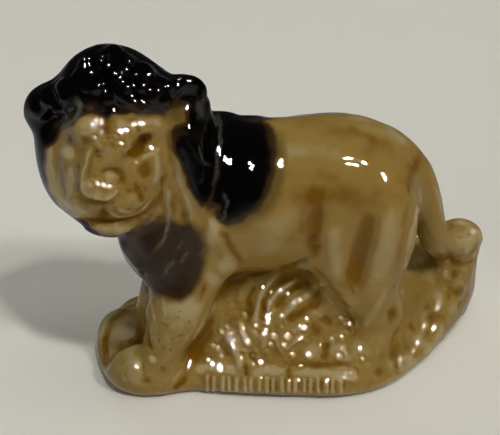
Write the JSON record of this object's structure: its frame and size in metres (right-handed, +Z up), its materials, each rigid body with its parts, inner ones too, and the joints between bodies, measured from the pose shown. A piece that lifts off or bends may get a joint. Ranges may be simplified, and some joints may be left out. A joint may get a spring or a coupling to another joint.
{
  "type": "miniature porcelain lion figurine",
  "caption": "Small glazed porcelain lion standing on a grassy mound, head turned to the side, cast in one piece with a flat underside to stand on a shelf.",
  "frame": {"origin": "on the surface it stands on, under the middle of the figurine's bounding box", "axes": "+Z up; -X towards the side where the head is, +X towards the tail; -Y towards the side that the face looks to, the shown side"},
  "size_m": [0.0446, 0.02, 0.0348],
  "materials": {
    "glazed_porcelain": "glossy honey-amber glaze that pools darker in hollows and pales on ridges, with the mane painted dark brown to black under it"
  },
  "bodies": {
    "root": {"lion_figurine": "glazed_porcelain"}
  },
  "joints": []
}
